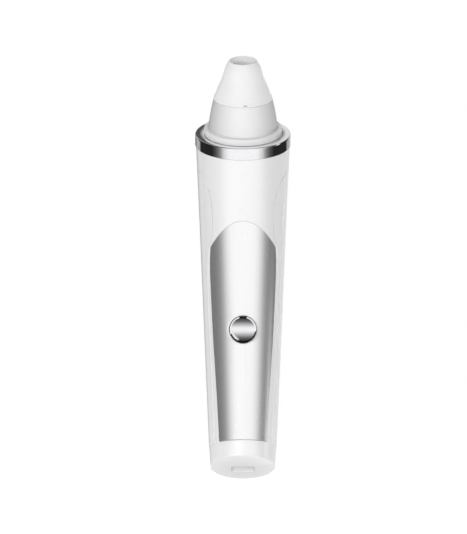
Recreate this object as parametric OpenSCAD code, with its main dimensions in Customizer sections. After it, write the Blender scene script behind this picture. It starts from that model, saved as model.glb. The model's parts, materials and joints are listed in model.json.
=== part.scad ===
// Hand-held suction tool for facial skin: a curved, tapered wand with a pull-off
// frosted head, a chromed collar, an arched metal front panel with one push
// button, a charging socket in the end cap and a small vacuum pump inside.

/* [Body] */
// Radius of the arc that the centreline of the body follows
bend_r = 230; // [200:1:320]
// Length of the two shells from the button to the collar, along the centreline
upper_len = 81.2; // [79.6:0.2:85]
// Radius of the shells at the end cap
low_r = 14.6; // [14.4:0.1:15.4]
// Radius of the shells at the collar
high_r = 20.2; // [20:0.1:21]
// Wall of the two shells
wall = 2; // [1.8:0.1:2.1]
// Gap that shows between the two shells
seam_gap = 0.16; // [0.1:0.02:0.24]
// Height above the button where the front shell is narrowest
leaf_s = 53.8; // [52:0.2:55]
// Height above the button that the rear shell reaches at the back
crown_s = 73; // [70:0.2:75]

/* [Front panel] */
// Height above the button of the panel's two shoulders
shoulder_s = 37.6; // [35:0.2:38.2]
// Height above the button of the top of the panel's arch
arch_top_s = 51.2; // [49:0.2:52]
// Depth of the bed that the panel lies in
bed_depth = 1; // [0.9:0.05:1.1]
// Thickness of the panel
panel_t = 0.95; // [0.8:0.05:0.95]
// Gap round the panel and round the parts that drop into a hole
fit = 0.12; // [0.1:0.01:0.15]

/* [Button] */
// Radius of the button
button_r = 6.05; // [5.8:0.05:6.3]
// Height of the button's crown over its own edge
button_crown = 0.7; // [0.5:0.05:0.9]
// Travel of the button
button_travel = 0.3; // [0.25:0.01:0.35]

/* [Collar] */
// How far the chromed ring stands out from the shells
ring_step = 0.3; // [0.2:0.1:0.8]
// Height of the chromed ring
ring_h = 5.2; // [4.8:0.1:5.5]
// Thickness of the ring's wall and of its top plate
ring_t = 1.3; // [1.1:0.1:1.4]
// Radius of the hole in the ring's top plate
ring_hole_r = 14.9; // [14.6:0.1:15.4]

/* [Head] */
// Radius of the flange of the frosted dome
flange_r = 16.7; // [16.4:0.1:17]
// Thickness of the flange
flange_h = 3.1; // [2.8:0.1:3.4]
// Radius of the dome just above its flange
dome_r = 14.75; // [14.6:0.05:15]
// Height of the dome above the collar, up to the tip's lower edge
dome_h = 16.3; // [15.9:0.1:16.9]
// Radius of the dome at the tip's lower edge
dome_top_r = 12.5; // [12.3:0.1:12.6]
// Radius of the neck that holds the tip
neck_r = 9.4; // [9.2:0.05:9.6]
// Height of the neck above the dome
neck_h = 4.6; // [4:0.1:4.8]
// Wall of the dome and of its neck
dome_wall = 1.5; // [1.3:0.1:1.6]
// Radius of the tip's lower edge
tip_r = 12.65; // [12.55:0.05:12.8]
// Height of the tip
tip_h = 16.7; // [16.3:0.1:17.6]
// Radius of the tip at its mouth
mouth_r = 7.1; // [6.9:0.1:7.4]
// Radius of the rounded rim of the mouth
rim_r = 1.5; // [1.2:0.1:1.6]
// Radius of the suction hole through the tip
suction_r = 4.2; // [3.8:0.1:4.5]
// Length of the straight part of the suction hole
suction_len = 4; // [3.6:0.1:4.4]

/* [End cap] */
// Length of the end cap along the centreline
cap_len = 9.2; // [8.8:0.1:9.6]
// Angle of the bottom face to the horizontal
base_tilt = 22; // [20:0.5:24]
// Radius of the bottom face
base_r = 13.9; // [13.6:0.1:14.2]
// Width of the charging recess
recess_w = 10; // [9.6:0.1:10.6]
// Depth of the charging recess from front to back
recess_d = 6; // [5.6:0.1:6.4]

/* [Battery and board] */
// Radius of the lithium cell
cell_r = 7; // [6.8:0.1:7.1]
// Length of the lithium cell
cell_len = 40; // [36:0.5:45]
// Length below the cell for the lower screw and the charging socket
socket_room = 10.8; // [10.6:0.1:12]
// Half width of the circuit board
board_half_w = 6.5; // [6.2:0.1:7]
// Thickness of the circuit board
board_t = 1.2; // [1:0.1:1.4]

/* [Pump] */
// Height of the motor's foot above the button
motor_foot_s = 17.7; // [17.4:0.1:18.2]
// Length of the motor's steel can
motor_len = 21; // [20:0.5:24]
// Thickness of the rubber sleeve between the motor and the shells
sleeve_t = 1.81; // [1.7:0.01:2.2]
// Radius of the motor's shaft
shaft_r = 1; // [0.9:0.05:1.1]
// Radius of the pump head
pump_r = 13.4; // [13.2:0.1:13.6]
// Angle between the crank pin and the motor's shaft
wobble = 5; // [4:0.5:6]

/* [Hidden] */
$fn = 72;

// Overrun of cuts past the face that they open
over = 1;

// Arc positions along the centreline, measured from the button
cap_s = -cell_len - socket_room;
collar_s = upper_len;
base_s = cap_s - cap_len;
ring_r = high_r + ring_step;

// Place of the frame's origin: under the middle of the box, on the lowest point
taper = (high_r - low_r) / (collar_s - cap_s);
front_y = bend_r * (cos(turn(collar_s)) - 1) - ring_h * sin(turn(collar_s)) - ring_r * cos(turn(collar_s));
back_y = low_r - taper * cap_s + taper * taper * bend_r / 2;
origin_y = -(front_y + back_y) / 2;
origin_z = base_r * sin(base_tilt) - bend_r * sin(turn(base_s));

// Grid of the moulded surfaces
bed_half_cols = 10;
strip_cols = 2;
brow_half_cols = bed_half_cols + strip_cols;
bed_rows = 14;
brow_rows = 6;
brow_crowding = 1.5;
skirt_rows = 5;
back_cols = 18;
back_crowding = 1.5;
cap_cols = 64;

// Half width of the panel as a share of the body's, by share of its height
panel_side_shares = [
    [0, 0.71], [0.19, 0.73], [0.39, 0.76], [0.55, 0.785], [0.75, 0.797],
    [0.86, 0.8], [0.95, 0.788], [1, 0.766]
];
// Half width of the front shell as a share of the body's, by share of its height
seam_side_shares = [
    [0, 0.845], [0.12, 0.843], [0.33, 0.848], [0.47, 0.855], [0.64, 0.857],
    [0.73, 0.845], [0.8, 0.818], [0.845, 0.779], [0.875, 0.736], [0.925, 0.7],
    [1, 0.688]
];
// Powers that round the leaf-shaped top of the rear shell
leaf_fullness = 6.6;
leaf_roundness = 2.3;

// Angle that an arc length turns through, and the centreline
function turn(s) = s / bend_r * 180 / PI;
function centre(s) = [0, origin_y + bend_r * (cos(turn(s)) - 1), origin_z + bend_r * sin(turn(s))];
function skin_r(s) = low_r + taper * (s - cap_s);
function arc_angle(length, r) = length / r * 180 / PI;

// A point of the skin from [arc position, angle from the front, offset outwards]
function skin(p) =
    let (r = skin_r(p[0]) + p[2], c = centre(p[0]), t = turn(p[0]))
    [r * sin(p[1]), c[1] - r * cos(p[1]) * cos(t), c[2] - r * cos(p[1]) * sin(t)];
function skinned(grid) = [for (row = grid) [for (p = row) skin(p)]];

// Smooth curve through a table of points
function table_slope(t, i) =
    let (a = max(i - 1, 0), b = min(i + 1, len(t) - 1))
    (t[b][1] - t[a][1]) / (t[b][0] - t[a][0]);
function smooth(t, x, i = 0) =
    i < len(t) - 2 && x > t[i + 1][0] ? smooth(t, x, i + 1) :
    let (w = t[i + 1][0] - t[i][0], u = min(1, (x - t[i][0]) / w), u2 = u * u, u3 = u2 * u)
    (2 * u3 - 3 * u2 + 1) * t[i][1] + (u3 - 2 * u2 + u) * w * table_slope(t, i)
    + (3 * u2 - 2 * u3) * t[i + 1][1] + (u3 - u2) * w * table_slope(t, i + 1);

// Outline of the front panel
function panel_angle(s) = asin(smooth(panel_side_shares, min(1, (s - cap_s) / (shoulder_s - cap_s))));
shoulder_angle = panel_angle(shoulder_s);
function arch_s(u) =
    arch_top_s - (arch_top_s - shoulder_s) * pow(sin(u * shoulder_angle) / sin(shoulder_angle), 2);
function panel_s(u, v) = cap_s + (arch_s(u) - cap_s) * v;

// Seam between the two shells, half a gap to either side of one line
function seam_angle(s) = asin(smooth(seam_side_shares, (s - cap_s) / (leaf_s - cap_s)));
function front_angle(s) = seam_angle(s) - arc_angle(seam_gap / 2, skin_r(s));
function rear_angle(s) = seam_angle(s) + arc_angle(seam_gap / 2, skin_r(s));
function leaf_top_s(q) =
    leaf_s + (crown_s - leaf_s) * pow(1 - pow(1 - q, leaf_fullness), 1 / leaf_roundness);
function leaf_angle(q) = seam_angle(leaf_s) + q * (180 - seam_angle(leaf_s));
leaf_step_share = 0.002;
function leaf_heading(q, step = leaf_step_share) =
    let (a = max(0, q - step), b = min(1, q + step))
    atan2(leaf_top_s(b) - leaf_top_s(a), (leaf_angle(b) - leaf_angle(a)) * PI / 180 * skin_r(crown_s));
function leaf_edge(q, side, off) =
    let (h = side * seam_gap / 2, a = leaf_heading(q))
    [leaf_top_s(q) + h * cos(a), leaf_angle(q) - arc_angle(h * sin(a), skin_r(crown_s)), off];
function back_share(j) = pow(j / back_cols, back_crowding);
function mirrored(p) = [p[0], 360 - p[1], p[2]];

// Grids of the front shell: bed, strips beside it, brow above it, skirt
function bed(u, v, off) = let (s = panel_s(u, v)) [s, u * panel_angle(s), off];
function strip(side, v, m, off) =
    let (s = panel_s(1, v), a = panel_angle(s))
    [s, side * (a + (front_angle(s) - a) * m / strip_cols), off];
function brow_foot(k, off) =
    abs(k) <= bed_half_cols ? bed(k / bed_half_cols, 1, off) : strip(sign(k), 1, abs(k) - bed_half_cols, off);
function brow(k, i, off) =
    let (p = brow_foot(k, off), w = pow(i / brow_rows, brow_crowding))
    i == 0 ? p :
    let (s = i == brow_rows ? leaf_s : p[0] + (leaf_s - p[0]) * w)
    [s, p[1] / front_angle(p[0]) * front_angle(s), off];
function skirt_foot(c, off) =
    c <= 2 * brow_half_cols ? brow(c - brow_half_cols, brow_rows, off) :
    let (j = c - 2 * brow_half_cols)
    j <= back_cols ? leaf_edge(back_share(j), 1, off) :
    j < 2 * back_cols ? mirrored(leaf_edge(back_share(2 * back_cols - j), 1, off)) :
    brow(-brow_half_cols, brow_rows, off);
function skirt(c, i, off) =
    let (p = skirt_foot(c, off))
    i == 0 ? p : [i == skirt_rows ? collar_s : p[0] + (collar_s - p[0]) * i / skirt_rows, p[1], off];
skirt_cols = 2 * brow_half_cols + 2 * back_cols;

function bed_grid(off) =
    [for (i = [0:bed_rows]) [
        for (k = [-bed_half_cols:bed_half_cols]) bed(k / bed_half_cols, i / bed_rows, off)
    ]];
function strip_grid(side, off) =
    [for (i = [0:bed_rows]) [
        for (m = [0:strip_cols]) strip(side, i / bed_rows, side < 0 ? strip_cols - m : m, off)
    ]];
function brow_grid(off) =
    [for (i = [0:brow_rows]) [for (k = [-brow_half_cols:brow_half_cols]) brow(k, i, off)]];
function skirt_grid(off) = [for (i = [0:skirt_rows]) [for (c = [0:skirt_cols]) skirt(c, i, off)]];
function bed_rim(off) = concat(
    [for (i = [0:bed_rows]) bed(-1, i / bed_rows, off)],
    [for (k = [1 - bed_half_cols:bed_half_cols - 1]) bed(k / bed_half_cols, 1, off)],
    [for (i = [bed_rows:-1:0]) bed(1, i / bed_rows, off)]
);
function front_edge(off, bed_off) = concat(
    [for (m = [strip_cols:-1:0]) strip(-1, 0, m, off)],
    [for (k = [-bed_half_cols:bed_half_cols]) bed(k / bed_half_cols, 0, bed_off)],
    [for (m = [0:strip_cols]) strip(1, 0, m, off)],
    [for (i = [1:bed_rows]) strip(1, i / bed_rows, strip_cols, off)],
    [for (i = [1:brow_rows]) brow(brow_half_cols, i, off)],
    [for (c = [2 * brow_half_cols + 1:skirt_cols]) skirt_foot(c, off)],
    [for (i = [brow_rows - 1:-1:0]) brow(-brow_half_cols, i, off)],
    [for (i = [bed_rows - 1:-1:0]) strip(-1, i / bed_rows, strip_cols, off)]
);

// Grid of the rear shell, whose rows start at the front shell's own rows
seam_rows = concat(
    [for (i = [0:bed_rows]) panel_s(1, i / bed_rows)],
    [for (i = [1:brow_rows]) brow(brow_half_cols, i, 0)[0]]
);
last_row = len(seam_rows) - 1;
function rear_half(j, i, off) =
    let (
        q = back_share(j), side_s = seam_rows[i], v = (side_s - cap_s) / (leaf_s - cap_s),
        top = j == 0 ? [leaf_s, seam_angle(leaf_s), off] : leaf_edge(q, -1, off)
    )
    [
        i == last_row ? top[0] : cap_s + (top[0] - cap_s) * v,
        180 - (1 - q) * (180 - rear_angle(side_s)) + (top[1] - leaf_angle(q)) * v,
        off
    ];
function rear(j, i, off) =
    j <= back_cols ? rear_half(j, i, off) : mirrored(rear_half(2 * back_cols - j, i, off));
function rear_grid(off) = [for (i = [0:last_row]) [for (j = [0:2 * back_cols]) rear(j, i, off)]];
function rear_edge(off) = concat(
    [for (j = [0:2 * back_cols]) rear(j, 0, off)],
    [for (i = [1:last_row]) rear(2 * back_cols, i, off)],
    [for (j = [2 * back_cols - 1:-1:0]) rear(j, last_row, off)],
    [for (i = [last_row - 1:-1:0]) rear(0, i, off)]
);

// Patches of points joined into one closed surface
function flipped(grid) = [for (i = [len(grid) - 1:-1:0]) grid[i]];
function patch_start(patches, n) =
    n == 0 ? 0 : patch_start(patches, n - 1) + len(patches[n - 1]) * len(patches[n - 1][0]);
function is_triangle(t) = t[0] != t[1] && t[1] != t[2] && t[2] != t[0];
module patched_solid(patches) {
    points = [for (g = patches) for (row = g) for (p = row) p];
    faces = [
        for (n = [0:len(patches) - 1])
            let (w = len(patches[n][0]), first = patch_start(patches, n))
            for (i = [0:len(patches[n]) - 2]) for (k = [0:w - 2])
                let (a = first + i * w + k)
                for (f = [[a, a + w, a + w + 1], [a, a + w + 1, a + 1]])
                    if (is_triangle([for (v = f) points[v]])) f
    ];
    polyhedron(points = points, faces = faces, convexity = 10);
}

// Frames: across the centreline, at the button, along the button, at the collar
module across(s) translate(centre(s)) rotate([turn(s), 0, 0]) children();
module button_level() translate(centre(0)) children();
module along_button() button_level() rotate([90, 0, 0]) children();
module head() across(collar_s) children();
module above_ring() head() translate([0, 0, ring_h]) children();

// Solid of revolution from a list of [radius, height]
module turned(outline) rotate_extrude() polygon(outline);
module tube(r, bore, h) difference() {
    cylinder(h = h, r = r);
    translate([0, 0, -over]) cylinder(h = h + 2 * over, r = bore);
}
small_fn = 32;
module rounded_bar(w, d, h, r) linear_extrude(height = h) hull() {
    for (x = [-1, 1]) for (y = [-1, 1])
        translate([x * (w / 2 - r), y * (d / 2 - r)]) circle(r = r, $fn = small_fn);
}
// Round wire or hose along stations of [point, direction]
wire_sides = 8;
function across_wire(d) = let (n = cross(d, [1, 0, 0])) n / norm(n);
function wire_ring(p, d, r) =
    let (u = across_wire(d), v = cross(d, u) / norm(d))
    [for (k = [0:wire_sides]) let (a = 360 * (k % wire_sides) / wire_sides)
        p + r * (cos(a) * u - sin(a) * v)];
function wire_rings(path, r) = [
    for (i = [0:len(path) - 1])
        wire_ring(path[i], path[min(i + 1, len(path) - 1)] - path[max(i - 1, 0)], r)
];
function tip_of(ring, p) = [for (q = ring) p];
module wire(path, r) {
    rings = wire_rings(path, r);
    patched_solid([concat(
        [tip_of(rings[0], path[0])], rings, [tip_of(rings[0], path[len(path) - 1])]
    )]);
}

// Screw pillars on the centre plane, measured from the button
cell_top_z = 2.6;
cell_z = cell_top_z - cell_len;
low_pillar_drop = 2.6;
high_pillar_drop = 7.1;
low_pillar_z = cell_z - low_pillar_drop;
high_pillar_z = motor_foot_s - high_pillar_drop;
pillar_zs = [low_pillar_z, high_pillar_z];
pillar_r = 2.3;
pillar_bore_r = 0.85;
boss_r = 3;
boss_len = 2.6;
screw_head_r = 2;
screw_head_h = 1.1;
screw_r = 0.8;
screw_len = 9;
screw_hole_r = 1.15;
// The wall of the skin at a height above the button, on the centre plane
function s_at(z, side) = let (r = side * skin_r(z)) bend_r * PI / 180 * asin(z / (bend_r + r));
function wall_y(z, side, off) =
    let (s = s_at(z, side)) bend_r * (cos(turn(s)) - 1) + side * (skin_r(s) + off) * cos(turn(s));
function bed_floor_y(z) = wall_y(z, -1, -bed_depth);
// The floor slopes under a screw's head, which is sunk until its high side is clear
function head_seat_y(z) = bed_floor_y(z) + screw_head_r * tan(abs(turn(s_at(z, -1)))) + fit + screw_head_h;
function boss_end_y(z) = head_seat_y(z) + boss_len;

module front_shell() color("white") difference() {
    union() {
        patched_solid(concat(
            [for (g = [
                bed_grid(-bed_depth), strip_grid(-1, 0), strip_grid(1, 0), brow_grid(0), skirt_grid(0)
            ])
                skinned(g)],
            [for (g = [bed_grid(-wall), strip_grid(-1, -wall), strip_grid(1, -wall)]) flipped(skinned(g))],
            [for (g = [brow_grid(-wall), skirt_grid(-wall)]) flipped(skinned(g))],
            [
                skinned([bed_rim(-bed_depth), bed_rim(0)]),
                skinned([front_edge(-wall, -wall), front_edge(0, -bed_depth)]),
                skinned([skirt_grid(0)[skirt_rows], skirt_grid(-wall)[skirt_rows]])
            ]
        ));
        for (z = pillar_zs) button_level() translate([0, boss_end_y(z), z]) rotate([90, 0, 0])
            cylinder(h = boss_end_y(z) - bed_floor_y(z) - (wall - bed_depth) / 2, r = boss_r);
    }
    for (z = pillar_zs) button_level() {
        translate([0, boss_end_y(z) + over, z]) rotate([90, 0, 0])
            cylinder(h = boss_len + 2 * over, r = screw_hole_r);
        translate([0, head_seat_y(z), z]) rotate([90, 0, 0])
            cylinder(h = head_seat_y(z) - bed_floor_y(z) + over, r = screw_head_r + fit);
    }
    along_button() cylinder(h = skin_r(0) + over, r = button_r + 2 * fit);
}

module rear_shell() color("gainsboro") difference() {
    union() {
        patched_solid([
            skinned(rear_grid(0)),
            flipped(skinned(rear_grid(-wall))),
            skinned([concat(rear_edge(-wall), [rear(0, 0, -wall)]), concat(rear_edge(0), [rear(0, 0, 0)])])
        ]);
        for (z = pillar_zs) button_level() translate([0, wall_y(z, 1, -wall / 2), z]) rotate([90, 0, 0])
            cylinder(h = wall_y(z, 1, -wall / 2) - boss_end_y(z) - fit, r = pillar_r);
    }
    for (z = pillar_zs) button_level() translate([0, boss_end_y(z) + screw_len, z]) rotate([90, 0, 0])
        cylinder(h = screw_len + over, r = pillar_bore_r);
}

// Front panel, inset by the fit all round
function inset_bed(u, v, off) =
    let (
        low = cap_s + fit, s = low + (arch_s(u) - fit - low) * v,
        a = panel_angle(s) - arc_angle(fit, skin_r(s))
    )
    [s, u * a, off];
function panel_grid(off) =
    [for (i = [0:bed_rows]) [
        for (k = [-bed_half_cols:bed_half_cols]) inset_bed(k / bed_half_cols, i / bed_rows, off)
    ]];
function panel_edge(off) = concat(
    [for (k = [-bed_half_cols:bed_half_cols]) inset_bed(k / bed_half_cols, 0, off)],
    [for (i = [1:bed_rows]) inset_bed(1, i / bed_rows, off)],
    [for (k = [bed_half_cols - 1:-1:-bed_half_cols]) inset_bed(k / bed_half_cols, 1, off)],
    [for (i = [bed_rows - 1:-1:0]) inset_bed(-1, i / bed_rows, off)]
);
panel_low = -bed_depth + (bed_depth - panel_t) / 2;
panel_high = panel_low + panel_t;
module metal_panel() color("silver") difference() {
    patched_solid([
        skinned(panel_grid(panel_high)),
        flipped(skinned(panel_grid(panel_low))),
        skinned([panel_edge(panel_low), panel_edge(panel_high)])
    ]);
    along_button() cylinder(h = skin_r(0) + over, r = button_r + fit);
}

// Loft of the end cap between its seam and its sloping bottom face
cap_seam_step = 0.1;
cap_seam_r = low_r - cap_seam_step;
cap_bevel = 0.35;
cap_spigot_h = 3.5;
cap_spigot_t = 1.4;
cap_floor = 3;
function cap_tilt(w) = turn(cap_s) - (base_tilt + turn(cap_s)) * w;
function cap_ring(w, r) =
    let (c = centre(cap_s - cap_len * w), t = cap_tilt(w))
    [for (k = [0:cap_cols]) let (a = 360 * (k % cap_cols) / cap_cols)
        [r * sin(a), c[1] - r * cos(a) * cos(t), c[2] - r * cos(a) * sin(t)]];
function cap_r(w) = cap_seam_r + (base_r - cap_seam_r) * w;
bevel_share = cap_bevel / cap_len;
cap_rows = 3;

// Charging socket: recess in the bottom face, straight up and down
board_setback = 8.5;
board_front_y = board_setback - skin_r(0);
board_back_y = board_front_y + board_t;
usb_w = 7.5;
usb_t = 2.9;
usb_h = 5;
usb_y = board_back_y + usb_t / 2;
ceiling_drop = 3.8;
recess_ceiling = cap_s - ceiling_drop;
recess_shelf = 1.4;
recess_round = 0.8;
module end_cap() color("white") difference() {
    union() {
        patched_solid([[
            cap_ring(1, 0), cap_ring(1, base_r - cap_bevel),
            for (i = [0:cap_rows])
                let (w = 1 - bevel_share - (1 - 2 * bevel_share) * i / cap_rows) cap_ring(w, cap_r(w)),
            cap_ring(0, cap_seam_r - cap_bevel / 2), cap_ring(0, 0)
        ]]);
        across(cap_s) translate([0, 0, -over]) cylinder(h = cap_spigot_h + over, r = low_r - wall - fit);
    }
    difference() {
        across(cap_s - cap_len + cap_floor) cylinder(h = 2 * cap_len, r = low_r - wall - fit - cap_spigot_t);
        button_level() translate([0, usb_y, recess_ceiling + recess_shelf - 2 * cap_len])
            rounded_bar(recess_w + 2 * recess_shelf, recess_d + 2 * recess_shelf, 2 * cap_len, recess_round);
    }
    button_level() translate([0, usb_y, recess_ceiling - 2 * cap_len])
        rounded_bar(recess_w, recess_d, 2 * cap_len, recess_round);
    button_level() translate([-usb_w / 2 - fit, usb_y - usb_t / 2 - fit, recess_ceiling - over])
        cube([usb_w + 2 * fit, usb_t + 2 * fit, recess_shelf + 2 * over]);
}

// Button: a domed cap with a collar that catches behind the shell
catch_step = 1.15;
catch_r = button_r + catch_step;
catch_h = 0.8;
catch_y = sqrt(pow(skin_r(0) - wall, 2) - catch_r * catch_r) - 2 * fit;
button_proud = 0.1;
button_edge_y = skin_r(0) + button_proud;
button_round = 0.5;
button_skin = 1.2;
button_rings = 8;
post_r = 1.6;
switch_h = 3.1;
stem_h = 0.8;
stem_top_y = -board_front_y + switch_h + stem_h;
stem_gap = 0.03;
button_flat_r = button_r - button_round;
module button_cap() color("silver") along_button() {
    rotate_extrude() polygon(concat(
        [
            [0, button_edge_y - button_skin], [button_r - button_skin, button_edge_y - button_skin],
            [button_r - button_skin, catch_y - catch_h], [catch_r, catch_y - catch_h], [catch_r, catch_y],
            [button_r, catch_y]
        ],
        [for (a = [0:22.5:90])
            [button_flat_r + button_round * cos(a), button_edge_y - button_round * (1 - sin(a))]],
        [for (i = [1:button_rings]) let (u = 1 - i / button_rings)
            [button_flat_r * u, button_edge_y + button_crown * (1 - u * u)]]
    ));
    translate([0, 0, stem_top_y + stem_gap])
        cylinder(h = button_edge_y - button_skin / 2 - stem_top_y - stem_gap, r = post_r);
}

// Chromed collar ring
ring_edge = 0.7;
ring_foot_edge = 0.2;
module collar_ring() color("silver") head() turned([
    [ring_r - ring_t, 0], [ring_r - ring_foot_edge, 0], [ring_r, ring_foot_edge],
    [ring_r, ring_h - ring_edge],
    [ring_r - ring_edge * (1 - cos(45)), ring_h - ring_edge * (1 - sin(45))], [ring_r - ring_edge, ring_h],
    [ring_hole_r, ring_h], [ring_hole_r, ring_h - ring_t], [ring_r - ring_t, ring_h - ring_t]
]);

// Seat of the head: plug in the shells, spigot for the dome, hose nipple
seat_plug_h = 6;
seat_wall = 1.5;
seat_plate = 1.8;
seat_top = ring_h - ring_t - fit;
seat_r = high_r - wall - fit;
seat_plug_r = seat_r - taper * seat_plug_h;
spigot_inset = 1.95;
spigot_r = dome_r - spigot_inset;
spigot_t = 1.8;
spigot_h = 8;
spigot_chamfer = 0.4;
groove_h = 1.4;
groove_depth = 1;
groove_rise = 4.5;
groove_z = ring_h + groove_rise;
sponge_h = 3.5;
sponge_drop = 0.4;
sponge_gap = 0.05;
sponge_floor_h = 1.6;
sponge_hole_r = 5;
nipple_r = 2.2;
nipple_bore_r = 1.2;
nipple_len = 5;
barb = 0.25;
barb_h = 1.6;
spigot_top = ring_h + spigot_h;
sponge_z = spigot_top - sponge_h - sponge_drop;
module barbed_nipple(low, length) turned([
    [0, low], [nipple_r, low], [nipple_r, length - barb_h], [nipple_r + barb, length - barb_h],
    [nipple_r - barb, length], [0, length]
]);
module nozzle_seat() color("whitesmoke") head() difference() {
    union() {
        turned([
            [0, seat_top - seat_plate], [seat_r - seat_wall, seat_top - seat_plate],
            [seat_r - seat_wall, 0], [seat_plug_r - seat_wall, -seat_plug_h],
            [seat_plug_r, -seat_plug_h], [seat_r, 0], [seat_r, seat_top], [spigot_r, seat_top],
            [spigot_r, groove_z - groove_h / 2], [spigot_r - groove_depth, groove_z - groove_h / 2],
            [spigot_r - groove_depth, groove_z + groove_h / 2], [spigot_r, groove_z + groove_h / 2],
            [spigot_r, spigot_top - spigot_chamfer], [spigot_r - spigot_chamfer, spigot_top],
            [spigot_r - spigot_t, spigot_top], [spigot_r - spigot_t, sponge_z], [sponge_hole_r, sponge_z],
            [sponge_hole_r, sponge_z - sponge_floor_h], [spigot_r - spigot_t, sponge_z - sponge_floor_h],
            [spigot_r - spigot_t, seat_top], [0, seat_top]
        ]);
        translate([0, 0, seat_top - seat_plate]) mirror([0, 0, 1]) barbed_nipple(-seat_plate / 2, nipple_len);
    }
    translate([0, 0, seat_top - seat_plate - nipple_len - over])
        cylinder(h = nipple_len + seat_plate + 2 * over, r = nipple_bore_r);
}

o_ring_squeeze = 0.03;
o_ring_gap = 0.02;
o_ring_r = (groove_depth + fit) / 2 - o_ring_squeeze;
module nozzle_o_ring() color("dimgray") head() translate([0, 0, groove_z]) rotate_extrude()
    translate([spigot_r - groove_depth + o_ring_r + o_ring_gap, 0]) circle(r = o_ring_r, $fn = small_fn);

module filter_sponge() color("lightgray") head() translate([0, 0, sponge_z + sponge_gap])
    cylinder(h = sponge_h, r = spigot_r - spigot_t - fit);

// Frosted dome: flange, swelling wall, neck for the tip
dome_gap = 0.1;
dome_bore_r = spigot_r + fit;
socket_slack = 0.4;
dome_socket_h = spigot_h + socket_slack;
dome_power = 1.5;
dome_rings = 8;
flange_foot_edge = 0.2;
flange_edge = 0.3;
flange_fillet = 0.2;
neck_edge = 0.3;
ceiling_step = 0.9;
ceiling_rise = 1.2;
function dome_wall_r(u) = dome_r - (dome_r - dome_top_r) * pow(u, dome_power);
neck_bore_r = neck_r - dome_wall;
module nozzle_dome() color("ghostwhite", 0.8) above_ring() turned(concat(
    [[dome_bore_r, dome_gap], [flange_r - flange_foot_edge, dome_gap],
        [flange_r, dome_gap + flange_foot_edge],
        [flange_r, flange_h - flange_edge], [flange_r - flange_edge, flange_h],
        [dome_r + flange_fillet, flange_h], [dome_r, flange_h + flange_fillet]],
    [for (i = [1:dome_rings])
        [dome_wall_r(i / dome_rings), flange_h + (dome_h - flange_h) * i / dome_rings]],
    [[neck_r, dome_h], [neck_r, dome_h + neck_h - neck_edge], [neck_r - neck_edge, dome_h + neck_h],
        [neck_bore_r, dome_h + neck_h], [neck_bore_r, dome_h - dome_wall],
        [dome_bore_r - ceiling_step, dome_socket_h + ceiling_rise], [dome_bore_r, dome_socket_h]]
));

// Suction tip: a pointed cup with a rolled rim, pushed over the dome's neck
tip_gap = 0.05;
tip_slack = 0.3;
tip_socket_h = neck_h + tip_slack;
tip_wall = 1.35;
tip_shelf = 0.7;
tip_cone_rise = 0.8;
tip_waist_drop = 0.6;
hole_lead = 1;
funnel_step = 1.1;
funnel_h = 2.6;
tip_rim_z = dome_h + tip_h;
hole_z = tip_rim_z - funnel_h - suction_len;
// The tip's outline from its lower edge, as [share of the height, share of the way in to the mouth]
tip_outline_shares = [
    [0.024, 0.005], [0.08, 0.12], [0.219, 0.279], [0.49, 0.631], [0.757, 0.856]
];
tip_waist_share = tip_outline_shares[3];
function tip_point(share) = [tip_r - (tip_r - mouth_r) * share[1], dome_h + tip_h * share[0]];
module suction_tip() color("ghostwhite", 0.7) above_ring() turned(concat(
    [[neck_r + fit, dome_h + tip_gap], [tip_r, dome_h + tip_gap]],
    [for (share = tip_outline_shares) tip_point(share)],
    [for (a = [20:14:90]) [mouth_r - rim_r + rim_r * cos(a), tip_rim_z - rim_r + rim_r * sin(a)]],
    [[suction_r + funnel_step, tip_rim_z], [suction_r, tip_rim_z - funnel_h], [suction_r, hole_z],
        [suction_r + hole_lead, hole_z - hole_lead],
        tip_point(tip_waist_share) - [tip_wall, tip_waist_drop],
        [neck_r - tip_shelf, dome_h + tip_socket_h + tip_cone_rise],
        [neck_r - tip_shelf, dome_h + tip_socket_h], [neck_r + fit, dome_h + tip_socket_h]]
));

// Carrier that holds the cell and the board on the screw pillars
board_relief = 1.3;
cell_y = board_back_y + board_relief + cell_r;
cell_fit = 0.15;
cell_mouth_share = 0.55;
trough_t = 1.2;
trough_inset = 1;
rail_w = 2.2;
rail_x = 3.6;
rail_d = 2.4;
rail_low_over = 2.5;
rail_high_over = 2;
rail_low_z = low_pillar_z - rail_low_over;
rail_high_z = high_pillar_z + rail_high_over;
eye_t = 1.2;
eye_len = 5;
thread_gap = 0.03;
module at_board_screws() for (z = board_screw_zs) for (x = [-1, 1])
    translate([x * board_screw_x, 0, z]) children();
module inner_frame() color("darkgray") button_level() difference() {
    union() {
        translate([0, cell_y, cell_z + trough_inset])
            cylinder(h = cell_len - 2 * trough_inset, r = cell_r + cell_fit + trough_t);
        for (x = [-rail_x - rail_w, rail_x]) translate([x, board_back_y, rail_low_z])
            cube([rail_w, rail_d, rail_high_z - rail_low_z]);
        for (z = pillar_zs) translate([0, board_back_y + eye_len, z]) rotate([90, 0, 0])
            cylinder(h = eye_len, r = pillar_r + cell_fit + eye_t);
    }
    translate([0, cell_y, cell_z]) cylinder(h = cell_len, r = cell_r + cell_fit);
    translate([-cell_r, cell_y + cell_r * cell_mouth_share, cell_z]) cube([2 * cell_r, 2 * cell_r, cell_len]);
    translate([-rail_x, board_back_y - over, cell_z]) cube([2 * rail_x, over + board_relief, cell_len]);
    for (z = pillar_zs) translate([0, board_back_y + eye_len + over, z]) rotate([90, 0, 0])
        cylinder(h = eye_len + 2 * over, r = pillar_r + cell_fit);
    at_board_screws() translate([0, board_back_y + board_screw_len, 0]) rotate([90, 0, 0])
        cylinder(h = board_screw_len + over, r = board_screw_r + thread_gap);
}

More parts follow.
